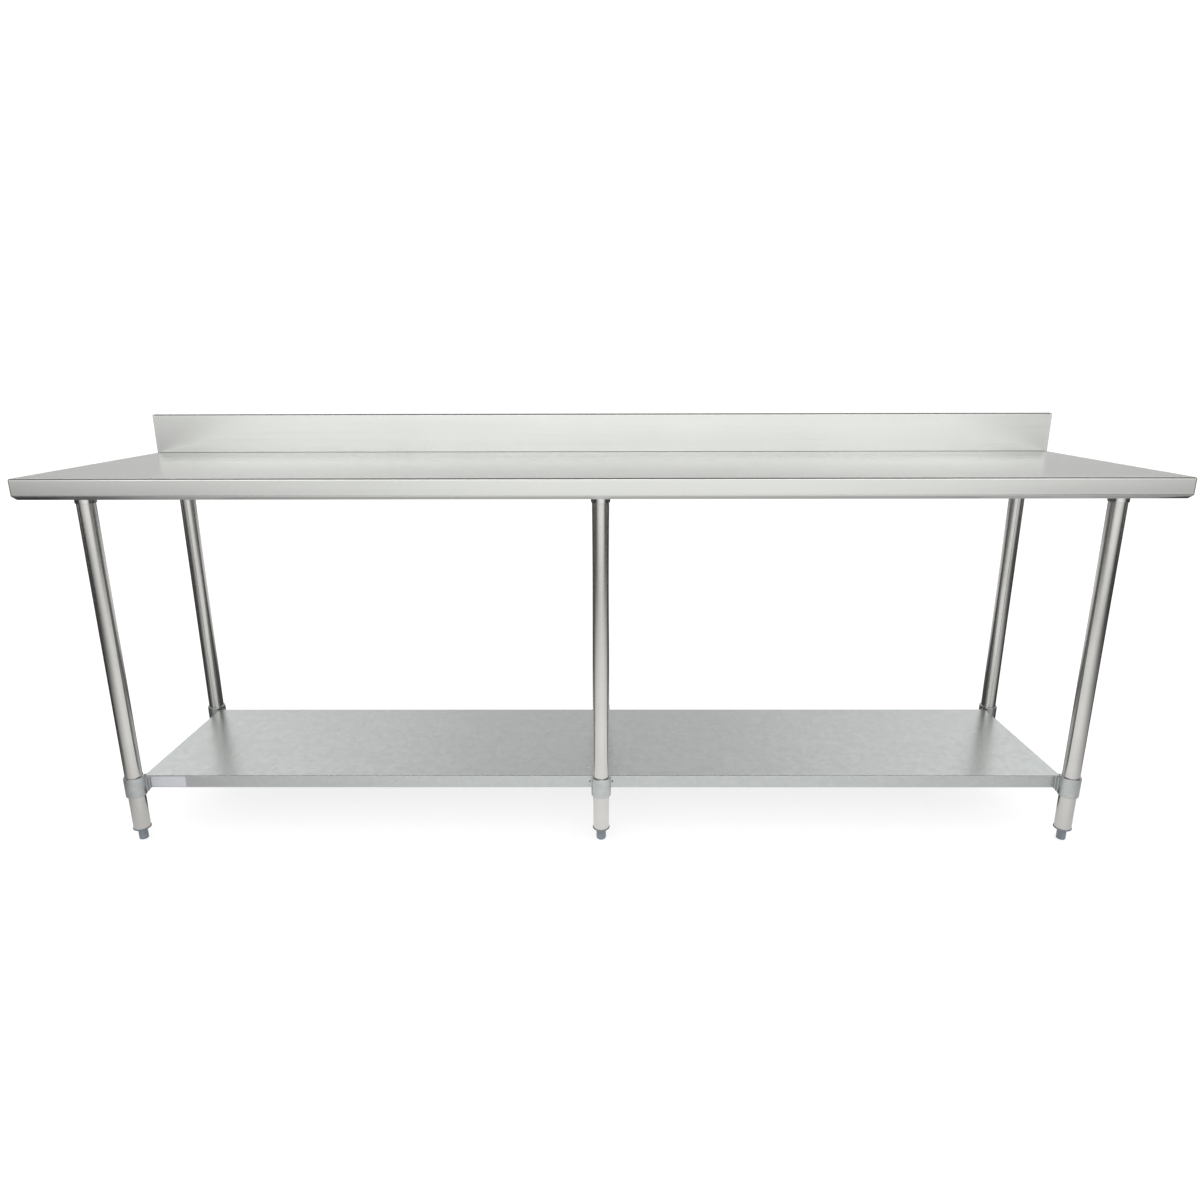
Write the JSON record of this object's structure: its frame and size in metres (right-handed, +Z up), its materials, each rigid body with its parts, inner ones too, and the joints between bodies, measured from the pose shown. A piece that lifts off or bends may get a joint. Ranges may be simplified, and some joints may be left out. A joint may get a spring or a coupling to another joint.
{
  "type": "work table",
  "caption": "Rectangular stainless kitchen work table with a low backsplash, round tube legs, adjustable bullet feet and a height-adjustable galvanised undershelf.",
  "frame": {"origin": "on the floor under the centre of the table's plan outline", "axes": "+X along the length to the right, -Y towards the front edge where the user stands, +Y towards the backsplash and wall, +Z up"},
  "size_m": [2.4384, 0.6096, 0.9906],
  "materials": {
    "brushed_stainless": "No. 4 brushed, grain along the length",
    "stainless_tube": "polished along the tube",
    "polished_stainless": "bright, turned",
    "galvanised_sheet": "galvanised, faint spangle, satin",
    "cast_aluminium": "cast and blasted, fine grain",
    "grey_plastic": "moulded, semi-matt",
    "zinc_screw": "zinc plated",
    "label_foil": "satin silver foil, blank"
  },
  "bodies": {
    "root": {"worktop": "brushed_stainless", "splash_end_cap_left": "brushed_stainless", "splash_end_cap_right": "brushed_stainless", "long_channel_left": "galvanised_sheet", "long_channel_right": "galvanised_sheet", "cross_channel_left": "galvanised_sheet", "cross_channel_centre": "galvanised_sheet", "cross_channel_right": "galvanised_sheet", "leg_socket_front_left": "polished_stainless", "leg_socket_front_centre": "polished_stainless", "leg_socket_front_right": "polished_stainless", "leg_socket_rear_left": "polished_stainless", "leg_socket_rear_centre": "polished_stainless", "leg_socket_rear_right": "polished_stainless", "leg_front_left": "stainless_tube", "leg_front_centre": "stainless_tube", "leg_front_right": "stainless_tube", "leg_rear_left": "stainless_tube", "leg_rear_centre": "stainless_tube", "leg_rear_right": "stainless_tube", "foot_insert_front_left": "grey_plastic", "foot_insert_front_centre": "grey_plastic", "foot_insert_front_right": "grey_plastic", "foot_insert_rear_left": "grey_plastic", "foot_insert_rear_centre": "grey_plastic", "foot_insert_rear_right": "grey_plastic", "socket_set_screws": "zinc_screw"},
    "undershelf": {"undershelf": "galvanised_sheet", "shelf_stiffener": "galvanised_sheet", "corner_bracket_front_left": "cast_aluminium", "corner_bracket_front_right": "cast_aluminium", "corner_bracket_rear_left": "cast_aluminium", "corner_bracket_rear_right": "cast_aluminium", "mid_bracket_front": "cast_aluminium", "mid_bracket_rear": "cast_aluminium", "bracket_set_screws": "zinc_screw", "bracket_screws": "zinc_screw", "shelf_label": "label_foil"},
    "foot_front_left": {"foot_front_left": "grey_plastic"},
    "foot_front_centre": {"foot_front_centre": "grey_plastic"},
    "foot_front_right": {"foot_front_right": "grey_plastic"},
    "foot_rear_left": {"foot_rear_left": "grey_plastic"},
    "foot_rear_centre": {"foot_rear_centre": "grey_plastic"},
    "foot_rear_right": {"foot_rear_right": "grey_plastic"}
  },
  "joints": [
    {"name": "undershelf_height", "type": "slide", "parent": "root", "child": "undershelf", "axis": [0, 0, 1], "range_m": [-0.04, 0.38]},
    {"name": "foot_front_left_level", "type": "slide", "parent": "root", "child": "foot_front_left", "axis": [0, 0, -1], "range_m": [0, 0.025]},
    {"name": "foot_front_centre_level", "type": "slide", "parent": "root", "child": "foot_front_centre", "axis": [0, 0, -1], "range_m": [0, 0.025]},
    {"name": "foot_front_right_level", "type": "slide", "parent": "root", "child": "foot_front_right", "axis": [0, 0, -1], "range_m": [0, 0.025]},
    {"name": "foot_rear_left_level", "type": "slide", "parent": "root", "child": "foot_rear_left", "axis": [0, 0, -1], "range_m": [0, 0.025]},
    {"name": "foot_rear_centre_level", "type": "slide", "parent": "root", "child": "foot_rear_centre", "axis": [0, 0, -1], "range_m": [0, 0.025]},
    {"name": "foot_rear_right_level", "type": "slide", "parent": "root", "child": "foot_rear_right", "axis": [0, 0, -1], "range_m": [0, 0.025]}
  ]
}
